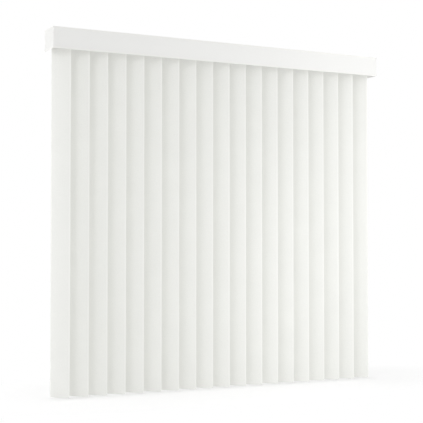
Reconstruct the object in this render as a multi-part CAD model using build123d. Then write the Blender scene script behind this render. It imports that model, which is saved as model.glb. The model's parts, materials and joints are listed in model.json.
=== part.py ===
from build123d import *
import math
import os

# Vertical blind with its headrail, wall brackets and valance, in millimetres.
# X runs along the blind, the wall is the plane y = 0, the room is at negative Y, and Z is up.
# The origin is the middle of the wall bracket's screw holes.

# Vanes
vane_count = 19
vane_pitch = 84.0
vane_width = 89.0
vane_length = 1485.0
vane_thickness = 0.9
vane_crown = 3.5
vane_corner_cut = 2.5
rest_tilt_deg = 45.0

# Slot punched near the top of each vane
punch_width = 14.0
punch_height = 5.0
punch_drop = 8.0

# Room around the vanes when they stand square to the wall
wall_clearance = 15.4
front_clearance = 6.8
lead_margin = 52.0
stack_margin = 73.0

# Headrail
rail_top_z = 18.0
rail_width = 36.0
rail_height = 28.0
rail_wall = 1.4
rail_slot = 14.0
rail_lip = 2.0
rail_corner_radius = 2.0
cap_flange = 3.0
cap_plug = 12.0
cap_wall = 2.0
cap_gap = 2.3
cap_fit_gap = 0.1

# Tilt rod
rod_radius = 3.0
rod_offset = 5.2
rod_sides = 6
rod_end_gap = 1.5
rod_room = 0.7

# Carriers
stack_pitch = 16.0
carrier_length = 14.0
carrier_floor_gap = 1.0
carrier_side_gap = 1.7
cheek_thickness = 2.0
cheek_head_gap = 1.0
notch_roof = 3.3
neck_drop = 9.0
neck_top_width = 11.0
neck_foot_width = 9.4
runner_height = 6.5
runner_width = 4.6
runner_gap = 0.1
tilter_length = 15.0

# Spacer strips that keep the carriers a pitch apart and nest when they are stacked
strip_thickness = 0.5
strip_gap = 0.38
strip_width = 10.0
strip_overhang = 6.0
strip_root = 5.0
strip_head_gap = 1.9

# Hook stems and the wand's hook
journal_radius = 2.55
journal_gap = 0.05
journal_flat_share = 0.65
bore_depth = 8.0
bore_sides = 8
end_play = 0.3
stem_drop = 14.0
hook_width = 9.0
hook_half_depth = 2.4
fork_gap = 0.25
lug_height = 3.0
prong_reach = 3.0
tip_bevel = 0.9
hook_bar = 2.8
hook_clearance = 2.0

# Valance
valance_height = 90.5
valance_rise = 11.0
valance_wall = 1.2
valance_lip = 7.0
lip_thickness = 1.3
lip_radius = 0.6
insert_thickness = 0.9
insert_gap = 0.1
key_thickness = 1.5
key_gap = 0.15
key_leg = 26.0
key_height = 27.0
key_hook = 1.6
wall_gap = 0.5

# Wall brackets, with a spring clip welded under each arm
bracket_width = 30.0
bracket_thickness = 1.6
bracket_foot = 25.0
bracket_bend_radius = 2.0
bracket_reach = 76.0
bracket_share = 0.73
screw_hole_radius = 2.5
screw_spacing = 24.0
clip_width = 25.0
clip_thickness = 1.2
clip_tongue = 1.6

# Clips that carry the valance on the headrail's front lip
valance_clip_width = 22.0
valance_clip_tail = 9.0
valance_clip_shares = (-0.86, -0.36, 0.36, 0.86)

# Places worked out from the sizes above
swing_radius = math.hypot(vane_width / 2, vane_crown + vane_thickness)
axis_y = -(wall_clearance + swing_radius)
channel_pocket = insert_thickness + 2 * insert_gap
channel_depth = lip_thickness + channel_pocket + valance_wall
key_pocket = key_thickness + 2 * key_gap
hook_depth = channel_depth + key_pocket + valance_wall
front_y = axis_y - swing_radius - front_clearance - channel_depth
blind_width = (vane_count - 1) * vane_pitch + lead_margin + stack_margin
left_x = -blind_width / 2
right_x = blind_width / 2
rail_length = blind_width - 2 * (hook_depth + cap_gap + cap_flange)
rail_bottom_z = rail_top_z - rail_height
rail_floor_z = rail_bottom_z + rail_wall
rail_roof_z = rail_top_z - rail_wall
rail_inner_half = rail_width / 2 - rail_wall
valance_top_z = rail_top_z + valance_rise
valance_bottom_z = valance_top_z - valance_height
neck_bottom_z = rail_bottom_z - neck_drop
vane_top_z = neck_bottom_z - stem_drop
vane_bottom_z = vane_top_z - vane_length
runner_half = rail_inner_half - carrier_side_gap
body_half = runner_half - runner_width
strip_slope = (strip_thickness + strip_gap) / stack_pitch
strip_reach = vane_pitch + strip_overhang
strip_rise = (strip_reach + strip_root) * strip_slope
channel_floor_z = rail_roof_z - strip_head_gap - strip_thickness - strip_rise
rod_z = channel_floor_z - notch_roof - rod_room - rod_radius
rod_y = axis_y + rod_offset
key_top_z = rail_top_z + clip_thickness + key_hook + key_gap
key_bottom_z = key_top_z - key_height
leg_bottom_z = rail_top_z + clip_thickness
leg_top_z = leg_bottom_z + bracket_thickness


def axis_x(index):
    """X of a vane's own turning axis, counted from 0 at the left."""
    return left_x + lead_margin + index * vane_pitch


def along_x(points, length):
    """A solid with this (y, z) outline, centred on x = 0."""
    return extrude(Plane.YZ * Polygon(*points, align=None), length / 2, both=True)


def save(name, *solids):
    """Write one node, as a group where it has several solids."""
    shape = solids[0] if len(solids) == 1 else Compound(children=list(solids))
    export_step(shape, f"parts/{name}.step")


def make_vane():
    """A crowned strip with its axis at the origin, bowed towards the room, with a punched slot."""
    radius = (vane_width**2 / 4 + vane_crown**2) / (2 * vane_crown)
    half_angle = math.asin(vane_width / 2 / radius)
    front = radius + vane_thickness / 2
    back = radius - vane_thickness / 2

    def edge(reach, angle):
        return (reach * math.sin(angle), radius - reach * math.cos(angle))

    section = make_face(
        [
            ThreePointArc(edge(front, -half_angle), edge(front, 0), edge(front, half_angle)),
            Line(edge(front, half_angle), edge(back, half_angle)),
            ThreePointArc(edge(back, half_angle), edge(back, 0), edge(back, -half_angle)),
            Line(edge(back, -half_angle), edge(front, -half_angle)),
        ]
    )
    strip = Pos(0, 0, vane_bottom_z) * extrude(section, vane_length)
    chord = 2 * front * math.sin(half_angle)
    middle_z = (vane_top_z + vane_bottom_z) / 2
    outline = Rectangle(chord, vane_length)
    outline = chamfer(outline.vertices().group_by(Axis.Y)[0], vane_corner_cut)
    punch_z = vane_top_z - punch_drop - punch_height / 2
    outline -= Pos(0, punch_z - middle_z) * Rectangle(punch_width, punch_height)
    blank = extrude(Plane.XZ * outline, swing_radius, both=True)
    return strip & Pos(0, 0, middle_z) * blank


def make_hook():
    """The stem that turns in a carrier's neck, forked over the vane, its lug in the vane's slot."""
    half_slot = vane_thickness / 2 + fork_gap
    top_z = neck_bottom_z - end_play
    lug_z = vane_top_z - punch_drop
    tip_z = lug_z - punch_height - prong_reach
    fork = along_x(
        [
            (-hook_half_depth, top_z),
            (-hook_half_depth, tip_z + tip_bevel),
            (-hook_half_depth + tip_bevel, tip_z),
            (-half_slot, tip_z),
            (-half_slot, vane_top_z + end_play),
            (half_slot, vane_top_z + end_play),
            (half_slot, lug_z),
            (-half_slot + fork_gap / 2, lug_z),
            (-half_slot + fork_gap / 2, lug_z - lug_height / 2),
            (half_slot, lug_z - lug_height),
            (half_slot, tip_z),
            (hook_half_depth - tip_bevel, tip_z),
            (hook_half_depth, tip_z + tip_bevel),
            (hook_half_depth, top_z),
        ],
        hook_width,
    )
    return fork + make_journal()


def make_journal():
    """The round top of a stem, flattened on two sides, from the fork up into the neck's bore."""
    pin = Cylinder(journal_radius, bore_depth)
    pin &= Box(2 * journal_radius, 2 * journal_radius * journal_flat_share, bore_depth)
    return Pos(0, 0, neck_bottom_z - end_play + bore_depth / 2) * pin


def make_wand_hook():
    """A flat hook for the wand, on a stem that turns in the first carrier."""
    low_z = vane_top_z + hook_clearance
    top_z = neck_bottom_z - end_play
    half = hook_width / 2
    bar = hook_bar
    outline = Polygon(
        (-half, top_z),
        (half, top_z),
        (half, top_z - bar),
        (bar - half, top_z - bar),
        (bar - half, low_z + bar),
        (half - bar, low_z + bar),
        (half - bar, low_z + 2 * bar),
        (half, low_z + 2 * bar),
        (half, low_z + tip_bevel),
        (half - tip_bevel, low_z),
        (tip_bevel - half, low_z),
        (-half, low_z + tip_bevel),
        align=None,
    )
    return extrude(Plane.XZ * outline, hook_bar / 2, both=True) + make_journal()


def carrier_outline():
    """Section of a carrier: neck, runners, notch for the rod at the back, channel for the strips."""
    low_z = rail_floor_z + carrier_floor_gap
    run_z = rail_floor_z + runner_gap
    cheek_z = rail_roof_z - cheek_head_gap
    notch_y = rod_offset - rod_radius - rod_room
    return [
        (-neck_foot_width / 2, neck_bottom_z),
        (neck_foot_width / 2, neck_bottom_z),
        (neck_top_width / 2, low_z),
        (body_half, low_z),
        (body_half, run_z),
        (runner_half, run_z),
        (runner_half, run_z + runner_height),
        (body_half, run_z + runner_height),
        (body_half, rod_z - rod_radius - rod_room),
        (notch_y, rod_z - rod_radius - rod_room),
        (notch_y, rod_z + rod_radius + rod_room),
        (body_half, rod_z + rod_radius + rod_room),
        (body_half, cheek_z),
        (body_half - cheek_thickness, cheek_z),
        (body_half - cheek_thickness, channel_floor_z),
        (cheek_thickness - body_half, channel_floor_z),
        (cheek_thickness - body_half, cheek_z),
        (-body_half, cheek_z),
        (-body_half, run_z + runner_height),
        (-runner_half, run_z + runner_height),
        (-runner_half, run_z),
        (-body_half, run_z),
        (-body_half, low_z),
        (-neck_top_width / 2, low_z),
    ]


def make_strip():
    """A thin spacer strip that rises from its carrier to the one on its left."""
    sunk_z = channel_floor_z - strip_thickness

    def height(x):
        return channel_floor_z + (strip_root - x) * strip_slope

    outline = [
        (strip_root, sunk_z),
        (strip_root, height(strip_root) + strip_thickness),
        (-strip_reach, height(-strip_reach) + strip_thickness),
        (-strip_reach, height(-strip_reach)),
        (-strip_root, height(-strip_root)),
        (-strip_root, sunk_z),
    ]
    return extrude(Plane.XZ * Polygon(*outline, align=None), strip_width / 2, both=True)


def make_carrier(lead):
    """A carrier on its runners; the lead one has the wand's tilter in place of a strip."""
    body = along_x(carrier_outline(), carrier_length)
    bore_places = [0]
    if lead:
        tilter_x = -(carrier_length + tilter_length) / 2
        body += Pos(tilter_x, 0, 0) * along_x(carrier_outline(), tilter_length)
        bore_places.append(tilter_x)
    else:
        body += make_strip()
    bore = RegularPolygon(journal_radius + journal_gap, bore_sides, major_radius=False)
    for x in bore_places:
        body -= Pos(x, 0, neck_bottom_z) * extrude(bore, bore_depth)
    return Pos(0, axis_y, 0) * body


def make_headrail():
    """A channel with its slot below and a lip along both top edges."""
    half = rail_width / 2
    lip = half + rail_lip
    outline = Polygon(
        (-lip, rail_top_z),
        (-lip, rail_roof_z),
        (-half, rail_roof_z),
        (-half, rail_bottom_z),
        (-rail_slot / 2, rail_bottom_z),
        (-rail_slot / 2, rail_floor_z),
        (-rail_inner_half, rail_floor_z),
        (-rail_inner_half, rail_roof_z),
        (rail_inner_half, rail_roof_z),
        (rail_inner_half, rail_floor_z),
        (rail_slot / 2, rail_floor_z),
        (rail_slot / 2, rail_bottom_z),
        (half, rail_bottom_z),
        (half, rail_roof_z),
        (lip, rail_roof_z),
        (lip, rail_top_z),
        align=None,
    )
    low_corners = outline.vertices().group_by(Axis.Y)[0].sort_by(Axis.X)
    outline = fillet([low_corners[0], low_corners[-1]], rail_corner_radius)
    return Pos(0, axis_y, 0) * extrude(Plane.YZ * outline, rail_length / 2, both=True)


def make_end_cap(side):
    """A cap whose hollow plug fits inside the headrail and carries one end of the rod."""
    middle_z = (rail_top_z + rail_bottom_z) / 2
    flange = Rectangle(rail_width + 2 * rail_lip, rail_height)
    flange = chamfer(flange.vertices(), rail_corner_radius)
    plug_width = 2 * (rail_inner_half - cap_fit_gap)
    plug_height = rail_roof_z - rail_floor_z - 2 * cap_fit_gap
    ring = Rectangle(plug_width, plug_height)
    ring -= Rectangle(plug_width - 2 * cap_wall, plug_height - 2 * cap_wall)
    bearing_place = Pos(rod_y - axis_y, rod_z - middle_z)
    ring += bearing_place * Rectangle(2 * (rod_radius + cap_wall), 2 * (rod_radius + cap_wall))
    bore = bearing_place * Circle(rod_radius + journal_gap)
    cap = extrude(flange, cap_flange) + extrude(ring, -cap_plug) - extrude(bore, -cap_plug)
    plane = Plane(origin=(0, 0, 0), x_dir=(0, 1, 0), z_dir=(1, 0, 0))
    cap = plane * cap
    if side < 0:
        cap = mirror(cap, Plane.YZ)
    return Pos(side * rail_length / 2, axis_y, middle_z) * cap


def make_tilt_rod():
    """A six-sided rod through every carrier, its edges turning in the two end caps."""
    length = rail_length - 2 * rod_end_gap
    section = RegularPolygon(rod_radius, rod_sides)
    return Pos(0, rod_y, rod_z) * extrude(Plane.YZ * section, length / 2, both=True)


def channel_outline():
    """Section of the valance channel as (depth from its face, z), with two hooks at the back."""
    web = lip_thickness + channel_pocket
    low = valance_bottom_z
    high = valance_top_z
    hook = channel_depth + key_pocket
    return Polygon(
        (0, low),
        (channel_depth, low),
        (channel_depth, key_bottom_z - valance_wall),
        (hook_depth, key_bottom_z - valance_wall),
        (hook_depth, key_bottom_z + key_hook),
        (hook, key_bottom_z + key_hook),
        (hook, key_bottom_z),
        (channel_depth, key_bottom_z),
        (channel_depth, key_top_z),
        (hook, key_top_z),
        (hook, key_top_z - key_hook),
        (hook_depth, key_top_z - key_hook),
        (hook_depth, key_top_z + valance_wall),
        (channel_depth, key_top_z + valance_wall),
        (channel_depth, high),
        (0, high),
        (0, high - valance_lip),
        (lip_thickness, high - valance_lip),
        (lip_thickness, high - valance_wall),
        (web, high - valance_wall),
        (web, low + valance_wall),
        (lip_thickness, low + valance_wall),
        (lip_thickness, low + valance_lip),
        (0, low + valance_lip),
        align=None,
    )


def valance_run(length, mitre_start, mitre_end):
    """A channel and its insert along +X, face at y = 0, with its ends mitred or square."""
    outline = channel_outline()
    rims = outline.vertices().group_by(Axis.X)[0].sort_by(Axis.Y)
    outline = fillet([rims[0], rims[-1]], lip_radius)
    channel = extrude(Plane.YZ * outline, length)
    low = valance_bottom_z + valance_wall + insert_gap
    high = valance_top_z - valance_wall - insert_gap
    strip = Pos(lip_thickness + insert_gap + insert_thickness / 2, (low + high) / 2)
    insert = extrude(Plane.YZ * strip * Rectangle(insert_thickness, high - low), length)
    deep = swing_radius
    trim = Polygon(
        (0, 0),
        (length, 0),
        (length - deep * mitre_end, deep),
        (deep * mitre_start, deep),
        align=None,
    )
    cutter = Pos(0, 0, valance_bottom_z) * extrude(trim, valance_height)
    return channel & cutter, insert & cutter


def make_corner_key():
    """An L that slides into the hooks of two runs where they meet, corner at the origin."""
    start = channel_depth + key_gap
    stop = start + key_thickness
    outline = Polygon(
        (start, start),
        (key_leg, start),
        (key_leg, stop),
        (stop, stop),
        (stop, key_leg),
        (start, key_leg),
        align=None,
    )
    return Pos(0, 0, key_bottom_z + key_gap) * extrude(outline, key_height - key_gap)


def make_valance_clip():
    """A clip that hooks over the headrail's front lip and fills the hooks behind the valance."""
    lip_y = axis_y - rail_width / 2 - rail_lip
    plate_y = front_y + channel_depth + key_gap
    roof_z = rail_top_z + clip_thickness
    return along_x(
        [
            (lip_y + valance_clip_tail, rail_top_z),
            (lip_y + valance_clip_tail, roof_z),
            (plate_y + key_thickness, roof_z),
            (plate_y + key_thickness, key_top_z),
            (plate_y, key_top_z),
            (plate_y, key_bottom_z + key_gap),
            (plate_y + key_thickness, key_bottom_z + key_gap),
            (plate_y + key_thickness, rail_top_z),
            (lip_y - clip_thickness, rail_top_z),
            (lip_y - clip_thickness, rail_roof_z - clip_thickness),
            (lip_y + clip_tongue, rail_roof_z - clip_thickness),
            (lip_y + clip_tongue, rail_roof_z),
            (lip_y, rail_roof_z),
            (lip_y, rail_top_z),
        ],
        valance_clip_width,
    )


def make_wall_bracket():
    """A bent steel angle: screwed to the wall, with its arm over the headrail."""
    outline = Polygon(
        (0, -bracket_foot),
        (-bracket_thickness, -bracket_foot),
        (-bracket_thickness, leg_bottom_z),
        (-bracket_reach, leg_bottom_z),
        (-bracket_reach, leg_top_z),
        (0, leg_top_z),
        align=None,
    )
    outer = outline.vertices().sort_by(Axis.X).group_by(Axis.Y)[-1].sort_by(Axis.X)[-1]
    inner = outline.vertices().group_by(Axis.Y)[1].sort_by(Axis.X)[-1]
    outline = fillet(outer, bracket_bend_radius + bracket_thickness)
    inner = outline.vertices().sort_by_distance(inner)[0]
    outline = fillet(inner, bracket_bend_radius)
    bracket = extrude(Plane.YZ * outline, bracket_width / 2, both=True)
    for z in (-screw_spacing / 2, screw_spacing / 2):
        hole = Rot(90, 0, 0) * Cylinder(screw_hole_radius, 4 * bracket_thickness)
        bracket -= Pos(0, 0, z) * hole
    return bracket


def make_headrail_clip():
    """A spring clip whose two hooks grip the headrail's top lips."""
    lip = rail_width / 2 + rail_lip
    side = lip + clip_thickness
    low_z = rail_roof_z - clip_thickness
    high_z = rail_top_z + clip_thickness
    half = [
        (lip, rail_top_z),
        (lip, rail_roof_z),
        (lip - clip_tongue, rail_roof_z),
        (lip - clip_tongue, low_z),
        (side, low_z),
        (side, high_z),
    ]
    outline = half + [(-y, z) for y, z in reversed(half)]
    return Pos(0, axis_y, 0) * along_x(outline, clip_width)


os.makedirs("parts", exist_ok=True)

vane = make_vane()
hook = make_hook()
carrier = make_carrier(lead=False)
for index in range(vane_count):
    number = f"{index + 1:02d}"
    place = Pos(axis_x(index), axis_y, 0) * Rot(0, 0, -rest_tilt_deg)
    save(f"vane_{number}", place * vane, place * hook)
    truck = make_carrier(lead=True) if index == 0 else carrier
    save(f"carrier_{number}", Pos(axis_x(index), 0, 0) * truck)

wand_x = axis_x(0) - (carrier_length + tilter_length) / 2
save("wand_hook", Pos(wand_x, axis_y, 0) * make_wand_hook())
save("headrail", make_headrail())
save("tilt_rod", make_tilt_rod())
save("end_cap_left", make_end_cap(-1))
save("end_cap_right", make_end_cap(1))

bracket_x = bracket_share * blind_width / 2
bracket_places = {"left": -bracket_x, "middle": 0, "right": bracket_x}
for name, x in bracket_places.items():
    save(f"wall_bracket_{name}", Pos(x, 0, 0) * make_wall_bracket())
save("headrail_clips", *[Pos(x, 0, 0) * make_headrail_clip() for x in bracket_places.values()])

front, front_insert = valance_run(blind_width, True, True)
front_place = Pos(left_x, front_y, 0)
save("valance_front", front_place * front)
save("valance_front_insert", front_place * front_insert)
return_length = -front_y - wall_gap
left, left_insert = valance_run(return_length, False, True)
left_place = Pos(left_x, -wall_gap, 0) * Rot(0, 0, -90)
save("valance_return_left", left_place * left)
save("valance_insert_left", left_place * left_insert)
right, right_insert = valance_run(return_length, True, False)
right_place = Pos(right_x, front_y, 0) * Rot(0, 0, 90)
save("valance_return_right", right_place * right)
save("valance_insert_right", right_place * right_insert)
left_key = Pos(left_x, front_y, 0) * make_corner_key()
save("valance_corner_keys", left_key, mirror(left_key, Plane.YZ))
clip_places = [share * blind_width / 2 for share in valance_clip_shares]
save("valance_clips", *[Pos(x, 0, 0) * make_valance_clip() for x in clip_places])
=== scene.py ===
# %% [markdown]
# # A vertical blind, part opened
# The solids of the blind come first: headrail, carriers, hooks, vanes, brackets and valance, all
# at rest in one frame. This lesson gives them their finishes, rebuilds the vanes as smooth curved
# strips, and lights the blind as a white product on a white ground.

import json
import math

import bmesh
import bpy
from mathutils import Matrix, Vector


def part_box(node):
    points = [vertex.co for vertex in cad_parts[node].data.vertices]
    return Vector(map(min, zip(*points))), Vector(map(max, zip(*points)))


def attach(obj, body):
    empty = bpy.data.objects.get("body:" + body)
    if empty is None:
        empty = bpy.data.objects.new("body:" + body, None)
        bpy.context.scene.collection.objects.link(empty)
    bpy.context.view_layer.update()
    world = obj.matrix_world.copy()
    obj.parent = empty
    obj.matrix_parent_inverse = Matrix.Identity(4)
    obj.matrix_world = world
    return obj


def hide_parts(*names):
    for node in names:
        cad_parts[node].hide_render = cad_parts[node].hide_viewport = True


MM = 0.001
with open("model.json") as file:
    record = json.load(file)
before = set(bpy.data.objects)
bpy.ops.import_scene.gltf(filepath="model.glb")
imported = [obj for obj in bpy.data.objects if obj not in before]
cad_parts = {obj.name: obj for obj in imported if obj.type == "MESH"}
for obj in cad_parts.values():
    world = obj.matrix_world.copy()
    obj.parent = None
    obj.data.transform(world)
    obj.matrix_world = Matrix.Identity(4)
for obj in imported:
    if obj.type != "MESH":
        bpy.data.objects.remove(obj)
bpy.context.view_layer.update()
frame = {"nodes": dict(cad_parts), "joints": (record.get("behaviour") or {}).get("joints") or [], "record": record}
nodes = frame["nodes"]
vane_names = sorted(name for name in nodes if name.startswith("vane_"))
print("solids:", len(nodes), "of which vanes:", len(vane_names))

# %% [markdown]
# ## The camera
# The blind is seen from its left, from a long way off and a little below its middle. A long lens
# keeps the vanes nearly parallel. The camera could be placed by eye, but here it stands at a set
# distance from the valance's upper left corner, so it keeps its view of the blind wherever the
# blind's origin is.

# %% Camera
PHOTO_SIDE = 423
FOCAL_PIXELS = 1054.0
SENSOR = 36.0
YAW = math.radians(27.03)
PITCH = math.radians(1.81)
CAMERA_FROM_CORNER = Vector((-1391.0, -4171.0, -908.6)) * MM
FAR_CLIP = 100.0

front_low, front_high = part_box("valance_front")
corner = Vector((front_low.x, front_low.y, front_high.z))
camera_data = bpy.data.cameras.new("camera")
camera_data.sensor_width = SENSOR
camera_data.lens = FOCAL_PIXELS / PHOTO_SIDE * SENSOR
camera_data.clip_end = FAR_CLIP
camera = bpy.data.objects.new("camera", camera_data)
camera.location = corner + CAMERA_FROM_CORNER
camera.rotation_euler = (math.pi / 2 + PITCH, 0.0, -YAW)
bpy.context.scene.collection.objects.link(camera)
bpy.context.scene.camera = camera
print("camera at", [round(c, 3) for c in camera.location], "lens", round(camera_data.lens, 1))

# %% [markdown]
# ## Writing nodes as sums
# Finishes and curved shapes are both nets of nodes, and most of those nodes only do sums. They
# could be made and linked one by one. Here a small class wraps a node's output, and Python's own
# operators add the Math nodes, so a rule reads like a rule. Every other node comes from one
# method of the net.


# %% An output that does sums
class Value:
    """A node's output that can be added, subtracted, multiplied and divided."""

    def __init__(self, net, socket):
        self.net = net
        self.socket = socket

    def beside(self, name):
        """Another output of the same node."""
        return Value(self.net, self.socket.node.outputs[name])

    def sum(self, operation, *others):
        """A Math node on this output and others."""
        return self.net.sum(operation, self, *others)

    def __add__(self, other):
        return self.sum("ADD", other)

    def __radd__(self, other):
        return self.net.sum("ADD", other, self)

    def __sub__(self, other):
        return self.sum("SUBTRACT", other)

    def __rsub__(self, other):
        return self.net.sum("SUBTRACT", other, self)

    def __mul__(self, other):
        return self.sum("MULTIPLY", other)

    def __rmul__(self, other):
        return self.net.sum("MULTIPLY", other, self)

    def __truediv__(self, other):
        return self.sum("DIVIDE", other)

    def __rtruediv__(self, other):
        return self.net.sum("DIVIDE", other, self)


print("sums:", [name for name in vars(Value) if name.startswith("__r")])

# %% [markdown]
# ## One way to make any node
# Shaders and shapes both keep their nodes in a tree. Each node could be made, set and linked in
# lines of its own, but then the lines hide what the node is for. One method does all three.
# Settings come first, because they can change which sockets a node has, and the method gives back
# an output that does sums.


# %% A net of nodes
class Net:
    """A tree whose nodes are made by their type, their settings and their sockets."""

    def __init__(self, tree):
        self.tree = tree

    def node(self, kind, settings=None, sockets=None, out=0):
        """Make a node, set it, fill its sockets, and give one of its outputs."""
        node = self.tree.nodes.new(kind)
        for key, value in (settings or {}).items():
            setattr(node, key, value)
        for key, value in (sockets or {}).items():
            self.put(node.inputs[key], value)
        return Value(self, node.outputs[out])

    def put(self, socket, value):
        """Link a value to a socket, or set a plain number, colour or name on it."""
        if isinstance(value, Value):
            self.tree.links.new(value.socket, socket)
        else:
            socket.default_value = value

    def sum(self, operation, *values):
        """A Math node on outputs or plain numbers."""
        return self.node("ShaderNodeMath", {"operation": operation}, dict(enumerate(values)))


print("a net can:", [name for name in vars(Net) if not name.startswith("__")])

# %% [markdown]
# ## What a finish is made of
# Each surface of the blind is one shader that a few patterns feed: drawn lines, blots and
# pebbles. They could be built again for every material. As methods of a finish they are written
# once. They read Object coordinates, so a pattern keeps its real size on every piece and stays in
# place on a piece that moves.


# %% A finish
class Finish(Net):
    """A material, with the few patterns that this blind's surfaces need."""

    def __init__(self, name):
        self.material = bpy.data.materials.new(name)
        self.material.use_nodes = True
        super().__init__(self.material.node_tree)
        self.shader = self.tree.nodes["Principled BSDF"]

    def place(self, scale):
        """Object coordinates, stretched along the axes where a pattern is drawn out."""
        plain = self.node("ShaderNodeTexCoord", out="Object")
        return self.node("ShaderNodeMapping", None, {"Vector": plain, "Scale": scale})

    def noise(self, place, detail=2.0):
        """Soft noise from 0 to 1."""
        sockets = {"Vector": place, "Scale": 1.0, "Detail": detail}
        return self.node("ShaderNodeTexNoise", None, sockets)

    def blots(self, size, detail=2.0):
        """Noise whose blots are about this many metres across."""
        return self.noise(self.place((1.0 / size,) * 3), detail)

    def pebbles(self, size):
        """Height of round pebbles about this many metres across, highest in their middles."""
        sockets = {"Vector": self.place((1.0 / size,) * 3), "Scale": 1.0}
        return 1.0 - self.node("ShaderNodeTexVoronoi", None, sockets)

    def mix(self, share, first, second):
        """A colour between two colours."""
        mixed = self.node("ShaderNodeMix", {"data_type": "RGBA"}, {0: share}, "Result")
        ends = [socket for socket in mixed.socket.node.inputs if socket.type == "RGBA"]
        for socket, colour in zip(ends, (first, second)):
            self.put(socket, colour)
        return Value(self, next(s for s in mixed.socket.node.outputs if s.type == "RGBA"))

    def bump(self, height, strength, depth):
        """A normal that follows a height."""
        sockets = {"Height": height, "Strength": strength, "Distance": depth}
        return self.node("ShaderNodeBump", None, sockets)

    def set(self, **sockets):
        """Fill the shader's sockets, and give the finished material."""
        for key, value in sockets.items():
            self.put(self.shader.inputs[key.replace("_", " ")], value)
        return self.material


def grey(level, red=1.0, blue=1.0):
    """A near white or grey, with its red and its blue shifted a little."""
    return (level * red, level, level * blue, 1.0)


finishes = {}
print("a plain white:", grey(0.9))

# %% [markdown]
# ## Grained white vinyl
# The vanes are extruded vinyl, pressed with a fine pebbled grain while warm. The grain could be
# real relief, but at a millimetre across it would take millions of faces, so it is bump. Round
# cells broken up by noise are the pebbles. Their valleys are painted a touch darker, as painted
# shade, and a slow cloud keeps two vanes from being exactly the same white. Along its two long
# edges a vane is rolled smooth, without grain, and there it is painted a little brighter, as a
# painted highlight. The strip in the valance is the same vinyl with a finer, shallower grain and
# the same painted shade in its valleys.

# %% Vinyl of the vanes and of the valance's strip
PLASTIC_IOR = 1.5
# Mark of the smooth long edges, where the grain stops and a highlight is painted.
EDGE_MARK = "plain_edge_and_highlight"
# Tone of the painted highlight along the vane's smooth edges.
EDGE_HIGHLIGHT_TONE = 0.2
# Share of painted shade in the pebbles' valleys; the rest is a random cloud of tone.
PAINTED_VALLEY_SHADE_SHARE = 0.75
VINYL_CLOUD = 120.0 * MM
CRINKLE_PER_PEBBLE = 2.2
PEBBLE_RELIEF = 0.6
CRINKLE_RELIEF = 0.8


def grained_vinyl(name, light, dark, pebble, grain_depth):
    finish = Finish(name)
    pebbles = finish.pebbles(pebble)
    crinkle = finish.blots(pebble * CRINKLE_PER_PEBBLE, detail=3.0)
    cloud = finish.blots(VINYL_CLOUD)
    grain_and_no_highlight = 1.0 - finish.node("ShaderNodeAttribute", {"attribute_name": EDGE_MARK}, out="Fac")
    # Painted shade: the pebbles' valleys take a darker colour, mixed with a random cloud.
    valley_shade_and_cloud = (1.0 - pebbles) * PAINTED_VALLEY_SHADE_SHARE + cloud * (1.0 - PAINTED_VALLEY_SHADE_SHARE)
    # Painted highlight: the smooth long edges take a brighter tone.
    tone = valley_shade_and_cloud * grain_and_no_highlight + (1.0 - grain_and_no_highlight) * EDGE_HIGHLIGHT_TONE
    relief = (pebbles * PEBBLE_RELIEF + crinkle * CRINKLE_RELIEF) * grain_and_no_highlight
    return finish.set(
        Base_Color=finish.mix(tone, light, dark),
        Roughness=0.46 + crinkle * 0.16,
        Normal=finish.bump(relief, strength=0.9, depth=grain_depth),
        IOR=PLASTIC_IOR,
    )


finishes["vane_plastic"] = grained_vinyl(
    "grained_white_vinyl",
    light=grey(0.949, red=0.995, blue=0.966),
    dark=grey(0.802, red=0.995, blue=0.964),
    pebble=1.1 * MM,
    grain_depth=0.3 * MM,
)
finishes["insert_plastic"] = grained_vinyl(
    "fine_white_vinyl",
    light=grey(0.9, blue=0.982),
    dark=grey(0.835, blue=0.98),
    pebble=0.9 * MM,
    grain_depth=0.06 * MM,
)
print("vinyl nodes:", len(finishes["vane_plastic"].node_tree.nodes))

# %% [markdown]
# ## Drawn white plastic
# The valance channel is pushed through a die, which leaves faint lines along its whole length.
# Noise that is squeezed in height and stretched along the run gives such lines. They only change
# the gloss and a very shallow bump, because the real ones are felt more than seen.

# %% Plastic of the valance
VALANCE_CLOUD = 150.0 * MM
LINES_PER_METRE = (2.0, 2.0, 900.0)


def drawn_plastic(name):
    finish = Finish(name)
    lines = finish.noise(finish.place(LINES_PER_METRE))
    cloud = finish.blots(VALANCE_CLOUD)
    return finish.set(
        Base_Color=finish.mix(cloud, grey(0.89, blue=0.972), grey(0.86, blue=0.972)),
        Roughness=0.32 + lines * 0.1,
        Normal=finish.bump(lines, strength=0.12, depth=0.05 * MM),
        IOR=PLASTIC_IOR,
    )


finishes["valance_plastic"] = drawn_plastic("drawn_white_plastic")
print("valance plastic nodes:", len(finishes["valance_plastic"].node_tree.nodes))

# %% [markdown]
# ## White paint
# The headrail is aluminium and the brackets are steel, both sprayed white. Sprayed paint dries
# with a slight orange peel, a soft ripple of two or three millimetres, under a thin gloss coat. A
# weak bump from smooth noise is enough for that.

# %% Paint of the headrail and the brackets
ORANGE_PEEL = 2.5 * MM
PAINT_CLOUD = 80.0 * MM


def sprayed_paint(name, level):
    finish = Finish(name)
    peel = finish.blots(ORANGE_PEEL, detail=1.0)
    cloud = finish.blots(PAINT_CLOUD)
    return finish.set(
        Base_Color=finish.mix(cloud, grey(level, blue=0.985), grey(level * 0.96, blue=0.98)),
        Roughness=0.3 + cloud * 0.12,
        Normal=finish.bump(peel, strength=0.12, depth=0.05 * MM),
        Coat_Weight=0.25,
    )


finishes["rail_paint"] = sprayed_paint("white_rail_paint", level=0.84)
finishes["bracket_steel"] = sprayed_paint("white_bracket_paint", level=0.8)
print("paints:", [finishes[slot].name for slot in ("rail_paint", "bracket_steel")])

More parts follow.
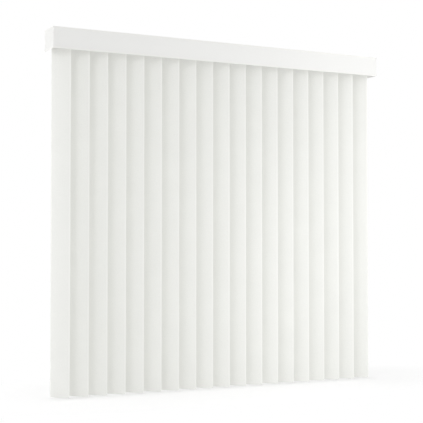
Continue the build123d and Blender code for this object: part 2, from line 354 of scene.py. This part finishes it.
# %% [markdown]
# ## Moulded plastic
# Carriers, hooks and end caps come out of a mould. The plastic is natural and a little milky,
# cloudy over some millimetres, with the fine dull skin of the mould. Slow noise moves the colour
# and the gloss, and quick noise roughens the skin.

# %% Plastic of the caps, carriers and hooks
MOULD_SKIN = 0.5 * MM
MOULD_CLOUD = 9.0 * MM


def moulded_plastic(name, level, blue):
    finish = Finish(name)
    cloud = finish.blots(MOULD_CLOUD)
    skin = finish.blots(MOULD_SKIN, detail=1.0)
    return finish.set(
        Base_Color=finish.mix(cloud, grey(level, blue=blue), grey(level * 0.93, blue=blue * 0.99)),
        Roughness=0.42 + cloud * 0.15,
        Normal=finish.bump(skin, strength=0.1, depth=0.04 * MM),
    )


finishes["cap_plastic"] = moulded_plastic("moulded_white", level=0.82, blue=0.97)
finishes["carrier_plastic"] = moulded_plastic("moulded_natural", level=0.78, blue=0.95)
print("mouldings:", [finishes[slot].name for slot in ("cap_plastic", "carrier_plastic")])

# %% [markdown]
# ## Bare metal
# The tilt rod is drawn aluminium and the spring clips are zinc plated steel. Drawing leaves fine
# scratches along the rod, so the noise is stretched along the blind, and a slow cloud stands for
# the uneven plate.

# %% Metal of the rod and the spring clips
PLATE_CLOUD = 15.0 * MM
SCRATCHES_PER_METRE = (60.0, 3000.0, 3000.0)


def bright_metal(name, level, rough):
    finish = Finish(name)
    scratches = finish.noise(finish.place(SCRATCHES_PER_METRE))
    cloud = finish.blots(PLATE_CLOUD, detail=3.0)
    return finish.set(
        Base_Color=finish.mix(cloud, grey(level, blue=1.02), grey(level * 0.86)),
        Metallic=1.0,
        Roughness=rough + scratches * 0.12,
        Normal=finish.bump(scratches, strength=0.15, depth=0.03 * MM),
    )


finishes["clip_steel"] = bright_metal("zinc_plate", level=0.66, rough=0.3)
finishes["rod_aluminium"] = bright_metal("drawn_aluminium", level=0.78, rough=0.26)
print("metals:", [finishes[slot].name for slot in ("clip_steel", "rod_aluminium")])

# %% [markdown]
# ## Clear plastic
# The clips that carry the valance, and its corner keys, are clear mouldings, hardly seen against
# white. True glass would need many light bounces. A half see-through gloss looks the same on so
# small a piece.

# %% Plastic of the valance clips
CLEAR_CLOUD = 12.0 * MM


def clear_plastic(name):
    finish = Finish(name)
    cloud = finish.blots(CLEAR_CLOUD)
    return finish.set(
        Base_Color=finish.mix(cloud, grey(0.82, red=0.99), grey(0.76, red=0.99)),
        Roughness=0.12 + cloud * 0.1,
        Alpha=0.62,
        Coat_Weight=0.3,
    )


finishes["clip_plastic"] = clear_plastic("clear_clip")
print("clear plastic nodes:", len(finishes["clip_plastic"].node_tree.nodes))

# %% [markdown]
# ## Dressing the solids
# Every solid has a material slot in its record, and each slot has one finish above. Most of the
# blind's solids already have the right shape, so they only need their finish.


# %% Dress the solids
def dress(piece, material):
    """Give a piece one material."""
    piece.data.materials.clear()
    piece.data.materials.append(material)


for part in frame["record"]["subparts"]:
    dress(nodes[part["node"]], finishes[part["material_slot"]])

# %% [markdown]
# ## The vanes
# Each vane is a strip of vinyl with a shallow crown, so that it hangs stiff and straight, two
# rounded lower corners and a slot for its hook. The solids hold that form with few faces, and
# their curve shows facets close up. The rule is the same for every vane, so one geometry tree
# draws them all again, smooth. Only the place of the turning axis differs from vane to vane, and
# the frame's joints know that place.

# %% Sizes of a vane
TILT = math.radians(45.0)
VANE_WIDTH = 89.0 * MM
VANE_LENGTH = 1485.0 * MM
VANE_THICKNESS = 0.9 * MM
VANE_CROWN = 3.5 * MM
VANE_CORNER = 2.5 * MM
VANE_EDGE = 5.0 * MM
PUNCH_WIDTH = 14.0 * MM
PUNCH_HEIGHT = 5.0 * MM
PUNCH_DROP = 8.0 * MM

axis_of = {}
for joint in frame["joints"]:
    if joint["name"].startswith("tilt_"):
        axis_of[joint["child"]] = Vector(joint["pos_m"])
vane_floor = min(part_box(name)[0].z for name in vane_names)
vane_top = vane_floor + VANE_LENGTH
vane_sizes = {
    "Width": VANE_WIDTH,
    "Length": VANE_LENGTH,
    "Thickness": VANE_THICKNESS,
    "Crown": VANE_CROWN,
    "Corner": VANE_CORNER,
    "Edge": VANE_EDGE,
    "Punch Width": PUNCH_WIDTH,
    "Punch Height": PUNCH_HEIGHT,
    "Punch Drop": PUNCH_DROP,
    "Top": vane_top,
    "Tilt": TILT,
}
print("vane from", round(vane_floor, 4), "to", round(vane_top, 4), "axes:", len(axis_of))

# %% [markdown]
# ## A shape from a rule
# A vane is sawn off a long strip whose section never changes, so its shape is a rule with a few
# sizes. It could be modelled once by hand and copied. A geometry tree keeps the rule itself, and
# its named inputs are the sizes that a maker would ask for.


# %% A geometry tree with named sizes
class Rule(Net):
    """A geometry tree whose named inputs are sizes in metres and angles in radians."""

    def __init__(self, name, inputs):
        super().__init__(bpy.data.node_groups.new(name, "GeometryNodeTree"))
        face = self.tree.interface
        face.new_socket("Geometry", in_out="OUTPUT", socket_type="NodeSocketGeometry")
        self.identifiers = {}
        for key in inputs:
            socket = face.new_socket(key, in_out="INPUT", socket_type="NodeSocketFloat")
            self.identifiers[key] = socket.identifier
        self.source = self.tree.nodes.new("NodeGroupInput")

    def given(self, name):
        """One of the named inputs."""
        return Value(self, self.source.outputs[name])

    def place(self):
        """The x, y and z of each point."""
        position = self.node("GeometryNodeInputPosition")
        x = self.node("ShaderNodeSeparateXYZ", None, {"Vector": position}, "X")
        return x, x.beside("Y"), x.beside("Z")

    def vector(self, x, y, z):
        """A point or a turn from its three parts."""
        return self.node("ShaderNodeCombineXYZ", None, {"X": x, "Y": y, "Z": z})

    def join(self, *pieces):
        """Several pieces as one geometry."""
        joined = self.node("GeometryNodeJoinGeometry")
        for piece in pieces:
            self.tree.links.new(piece.socket, joined.socket.node.inputs[0])
        return joined

    def end(self, geometry, material):
        """Close the tree, with one material on every face."""
        sockets = {"Geometry": geometry, "Material": material}
        painted = self.node("GeometryNodeSetMaterial", None, sockets)
        self.tree.links.new(painted.socket, self.tree.nodes.new("NodeGroupOutput").inputs[0])


vane_rule = Rule("vane", [*vane_sizes, "Axis X", "Axis Y"])
print("inputs of the vane's tree:", len(vane_rule.identifiers))

# %% [markdown]
# ## From a flat grid to a crowned sheet
# The vane starts as a grid whose columns are drawn closer at its two edges, where the corners are
# rounded. The crown gives the circle through the vane's two edges and its middle, and each column
# drops back onto that circle. The lowest row is lifted in the last few millimetres, which rounds
# the corners.

# %% Crowned sheet
COLUMNS = 49
ROWS = 9
GRID_SPAN = 2.0


def crowned_sheet(rule):
    """The vane's back face, bowed towards the room, with rounded lower corners.

    The grid's x runs from -1 to 1, and its sine draws the columns together at both edges.
    """
    length, crown, corner = rule.given("Length"), rule.given("Crown"), rule.given("Corner")
    half = rule.given("Width") * 0.5
    sockets = {"Size X": GRID_SPAN, "Size Y": length, "Vertices X": COLUMNS, "Vertices Y": ROWS}
    grid = rule.node("GeometryNodeMeshGrid", None, sockets, "Mesh")
    x, y, _ = rule.place()
    across = half * (x * (math.pi / 2)).sum("SINE")
    radius = (half * half + crown * crown) / (crown * 2.0)
    bow = radius - (radius * radius - across * across).sum("SQRT")
    past = (across.sum("ABSOLUTE") - (half - corner)).sum("MAXIMUM", 0.0)
    lift = corner - (corner * corner - past * past).sum("MAXIMUM", 0.0).sum("SQRT")
    lowest_row = (1.0 - (y / length + 0.5) * (ROWS - 1.0)).sum("MAXIMUM", 0.0)
    height = rule.given("Top") - length * 0.5 + y + lift * lowest_row
    place = rule.vector(across, bow + rule.given("Thickness") * 0.5, height)
    return rule.node("GeometryNodeSetPosition", None, {"Geometry": grid, "Position": place})


vane_back = crowned_sheet(vane_rule)
print("points of the sheet:", COLUMNS * ROWS)

# %% [markdown]
# ## Thickness and the punched slot
# A real vane is sawn to length and punched in one stroke. The sheet is thickened towards the
# room, and its back face is turned round and joined on, which closes it. A block then cuts the
# slot. The block is as deep as the vane is wide, so it always goes right through.

# %% Thick punched strip
MERGE_GAP = 0.01 * MM


def thick_strip(rule, sheet):
    """A closed strip, from a sheet that becomes its back."""
    sockets = {"Mesh": sheet, "Offset Scale": rule.given("Thickness"), "Individual": False}
    front = rule.node("GeometryNodeExtrudeMesh", {"mode": "FACES"}, sockets, "Mesh")
    back = rule.node("GeometryNodeFlipFaces", None, {"Mesh": sheet})
    sockets = {"Geometry": rule.join(front, back), "Distance": MERGE_GAP}
    return rule.node("GeometryNodeMergeByDistance", None, sockets)


def punched(rule, strip):
    """The strip with its hook's slot cut through it."""
    tall = rule.given("Punch Height")
    size = rule.vector(rule.given("Punch Width"), rule.given("Width"), tall)
    block = rule.node("GeometryNodeMeshCube", None, {"Size": size}, "Mesh")
    middle = rule.given("Top") - rule.given("Punch Drop") - tall * 0.5
    sockets = {"Geometry": block, "Translation": rule.vector(0.0, 0.0, middle)}
    tool = rule.node("GeometryNodeTransform", None, sockets)
    sockets = {"Mesh 1": strip, "Mesh 2": tool}
    return rule.node("GeometryNodeMeshBoolean", {"operation": "DIFFERENCE"}, sockets, "Mesh")


vane_strip = punched(vane_rule, thick_strip(vane_rule, vane_back))
print("nodes so far:", len(vane_rule.tree.nodes))

# %% [markdown]
# ## Smooth edges, and the turn to its place
# The grain stops short of a vane's long edges, and there the vinyl paints a highlight. The tree
# marks each point by how far it is into that smooth edge, and the vinyl reads the mark. A mark on the mesh turns
# and moves with the vane.
# Last, the strip is turned by the blind's tilt and set on its own axis, and all but its sharp
# edges are shaded smooth.

# %% Marked and hung strip
EDGE_BLEND = 0.5
SMOOTH_ANGLE = math.radians(30.0)


def edge_marked(rule, strip):
    """Store how far each point is into the smooth edge, where the vinyl paints a highlight, from 0 to 1."""
    x, _, _ = rule.place()
    edge = rule.given("Edge")
    past = x.sum("ABSOLUTE") - (rule.given("Width") * 0.5 - edge)
    share = (past / (edge * EDGE_BLEND)).sum("MAXIMUM", 0.0).sum("MINIMUM", 1.0)
    sockets = {"Geometry": strip, "Name": EDGE_MARK, "Value": share}
    return rule.node("GeometryNodeStoreNamedAttribute", {"data_type": "FLOAT"}, sockets)


def hung(rule, strip):
    """The strip turned by its tilt, on its own axis, with its faces shaded smooth."""
    turn = rule.vector(0.0, 0.0, 0.0 - rule.given("Tilt"))
    axis = rule.vector(rule.given("Axis X"), rule.given("Axis Y"), 0.0)
    sockets = {"Geometry": strip, "Rotation": turn, "Translation": axis}
    placed = rule.node("GeometryNodeTransform", None, sockets)
    angle = rule.node("GeometryNodeInputMeshEdgeAngle", out="Unsigned Angle")
    sockets = {0: angle, 1: SMOOTH_ANGLE}
    soft = rule.node("FunctionNodeCompare", {"operation": "LESS_THAN"}, sockets)
    sockets = {"Geometry": placed, "Shade Smooth": soft}
    return rule.node("GeometryNodeSetShadeSmooth", {"domain": "EDGE"}, sockets)


vane_rule.end(hung(vane_rule, edge_marked(vane_rule, vane_strip)), finishes["vane_plastic"])
print("nodes of the vane's tree:", len(vane_rule.tree.nodes))

# %% [markdown]
# ## Every vane from the one tree
# All the vanes are alike, and each hangs on its own axis. The tree could stay on them as a live
# modifier, but a piece that moves with the blind is safest as a plain mesh. So the tree runs once
# for each vane, its result is kept as that vane's mesh, and the modifier is taken off.


# %% Make the vanes
def grow(rule, name, sizes):
    """Run a geometry tree on a new object and keep its result as a plain mesh."""
    piece = bpy.data.objects.new(name, bpy.data.meshes.new(name + "_seed"))
    bpy.context.scene.collection.objects.link(piece)
    modifier = piece.modifiers.new("rule", "NODES")
    modifier.node_group = rule.tree
    for key, value in sizes.items():
        modifier[rule.identifiers[key]] = value
    evaluated = piece.evaluated_get(bpy.context.evaluated_depsgraph_get())
    mesh = bpy.data.meshes.new_from_object(evaluated)
    piece.modifiers.remove(modifier)
    piece.data = mesh
    return piece


strips = {}
for name in vane_names:
    axis = axis_of[name]
    sizes = {**vane_sizes, "Axis X": axis.x, "Axis Y": axis.y}
    strips[name] = grow(vane_rule, name + "_strip", sizes)
print("vanes:", len(strips), "faces of one:", len(strips["vane_01"].data.polygons))

# %% [markdown]
# ## The hooks
# A vane's solid also holds its hook, a separate moulding with a fork and a lug. The vane now has
# its own smooth strip, so the hook is taken off a copy of the solid. It could be modelled again,
# but its shape is right already: the points are joined up, and the island of faces that reaches
# above the vane's top edge is the hook.

# %% Take the hooks from their solids
HOOK_CLEARANCE = 1.0 * MM


def island_above(mesh, level):
    """A copy of the joined-up faces that reach above this height."""
    net = bmesh.new()
    net.from_mesh(mesh)
    bmesh.ops.remove_doubles(net, verts=net.verts, dist=MERGE_GAP)
    waiting = {point for point in net.verts if point.co.z > level}
    kept = set(waiting)
    while waiting:
        point = waiting.pop()
        joined = {edge.other_vert(point) for edge in point.link_edges} - kept
        kept |= joined
        waiting |= joined
    bmesh.ops.delete(net, geom=[point for point in net.verts if point not in kept], context="VERTS")
    result = bpy.data.meshes.new("hook")
    net.to_mesh(result)
    net.free()
    return result


hooks = {}
hook_level = vane_top + HOOK_CLEARANCE
for name in vane_names:
    hooks[name] = bpy.data.objects.new(name + "_hook", island_above(nodes[name].data, hook_level))
    bpy.context.scene.collection.objects.link(hooks[name])
    dress(hooks[name], finishes["carrier_plastic"])
print("hooks:", len(hooks), "faces of one:", len(hooks["vane_01"].data.polygons))

# %% [markdown]
# ## Riding on the solids
# A vane's strip and its hook stand for that vane's solid, and both turn and travel with it.
# Everything else rides on its body already.

# %% Put the new pieces on their bodies
for name in vane_names:
    for piece, slot in ((strips[name], "vane_plastic"), (hooks[name], "carrier_plastic")):
        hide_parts(name)
        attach(piece, name)
print("pieces that ride on vanes:", len(strips) + len(hooks))

# %% [markdown]
# ## The ground
# The blind hangs just clear of a pale floor. A plain lit floor would come out grey beside a white
# background. So to the camera, and in gloss and clear plastic, the floor has some white glow of
# its own, little in a long narrow patch round the blind, where its shadow should stay, and more
# and more further off, so that the floor runs into the white behind it without a line.

# %% Floor
FLOOR_GAP = 5.0 * MM
FLOOR_HALF_SIDE = 15.0
FLOOR_LEVEL = 0.94
FLOOR_ROUGHNESS = 0.9
GLOW_SHARE = 0.25
FADE_START = 0.85
FADE_LENGTH = 0.7
FADE_NARROWING = 2.5


def seen_rays(net):
    """1 for the rays that look at the ground or the sky, 0 for those that carry their light."""
    camera_ray = net.node("ShaderNodeLightPath", out="Is Camera Ray")
    seen = camera_ray.sum("MAXIMUM", camera_ray.beside("Is Glossy Ray"))
    return seen.sum("MAXIMUM", camera_ray.beside("Is Transmission Ray"))


def floor_paint():
    finish = Finish("white_floor")
    finish.set(Base_Color=grey(FLOOR_LEVEL), Roughness=FLOOR_ROUGHNESS)
    flat = {0: finish.place((1.0, FADE_NARROWING, 0.0))}
    distance = finish.node("ShaderNodeVectorMath", {"operation": "LENGTH"}, flat, "Value")
    fade = ((distance - FADE_START) / FADE_LENGTH).sum("MAXIMUM", 0.0).sum("MINIMUM", 1.0)
    eased = fade * fade * (3.0 - fade * 2.0)
    share = seen_rays(finish) * (GLOW_SHARE + eased * (1.0 - GLOW_SHARE))
    glow = finish.node("ShaderNodeEmission", None, {"Color": grey(1.0), "Strength": 1.0})
    lit = Value(finish, finish.shader.outputs[0])
    mixed = finish.node("ShaderNodeMixShader", None, {0: share, 1: lit, 2: glow})
    finish.put(finish.tree.nodes["Material Output"].inputs["Surface"], mixed)
    return finish.material


floor_z = vane_floor - FLOOR_GAP
signs = ((-1, -1), (1, -1), (1, 1), (-1, 1))
floor_points = [(x * FLOOR_HALF_SIDE, y * FLOOR_HALF_SIDE, floor_z) for x, y in signs]
floor_mesh = bpy.data.meshes.new("floor")
floor_mesh.from_pydata(floor_points, [], [(0, 1, 2, 3)])
floor = bpy.data.objects.new("floor", floor_mesh)
bpy.context.scene.collection.objects.link(floor)
dress(floor, floor_paint())
print("floor at", round(floor_z, 4))

# %% [markdown]
# ## The sky
# White on white needs light that is nearly even, or the blind turns grey. A ring of large lamps
# could give it, with many soft shadows. An even sky is simpler, and its shadows are faint. It
# lights the blind a little below white, and the camera sees it as plain white.

# %% Sky
SKY = 0.695
world = bpy.data.worlds.new("studio")
bpy.context.scene.world = world
world.use_nodes = True
sky = Net(world.node_tree)
background = sky.tree.nodes["Background"]
sky.put(background.inputs["Color"], grey(1.0))
sky.put(background.inputs["Strength"], SKY + seen_rays(sky) * (1.0 - SKY))
print("sky:", SKY, "seen as 1.0")

# %% [markdown]
# ## The lamps
# The sky alone would leave the vanes flat, so a few soft lamps model them. One could be enough
# for a small thing, but this blind is wide. A large lamp high at the left, in front, looks into
# the open vanes and leaves shade under the valance, and a smaller one stands further round. Two
# near the right end lift it towards white, and one at the left reaches the return and the first
# vane. A weak light from straight above lays the blind's narrow shadow on the floor.


# %% Lamps
def lamp(name, place, aim, size, power):
    """A soft rectangular lamp, aimed at a point."""
    data = bpy.data.lights.new(name, "AREA")
    data.shape = "RECTANGLE"
    data.size, data.size_y = size
    data.energy = power
    light = bpy.data.objects.new(name, data)
    light.location = place
    light.rotation_euler = (Vector(aim) - Vector(place)).to_track_quat("-Z", "Y").to_euler()
    light.visible_camera = False
    bpy.context.scene.collection.objects.link(light)
    return light


def overhead_light(name, strength, spread):
    """A light that falls straight down on everything alike."""
    data = bpy.data.lights.new(name, "SUN")
    data.energy = strength
    data.angle = spread
    light = bpy.data.objects.new(name, data)
    bpy.context.scene.collection.objects.link(light)
    return light


lamps = [
    lamp("key_lamp", (-3.4, -2.8, 0.9), aim=(0.0, 0.0, -0.8), size=(1.2, 1.0), power=12.6),
    lamp("side_lamp", (-3.9, -2.05, -0.5), aim=(0.0, 0.0, -0.7), size=(0.8, 1.2), power=4.4),
    lamp("right_lamp", (0.27, -1.3, -0.95), aim=(0.7, 0.0, -0.95), size=(0.5, 1.0), power=3.2),
    lamp("corner_lamp", (1.1, -0.95, 0.0), aim=(0.78, 0.0, 0.0), size=(0.5, 1.2), power=2.3),
    lamp("left_lamp", (-2.3, 0.9, -0.7), aim=(-0.8, -0.06, -0.6), size=(1.0, 1.0), power=9.0),
    overhead_light("overhead_light", strength=0.62, spread=math.radians(3.0)),
]
bpy.context.scene.view_settings.view_transform = "Standard"
print("lamps:", [light.name for light in lamps])

# %% [markdown]
# ## Sizes
# The finished blind must be as large as its solids and no larger.
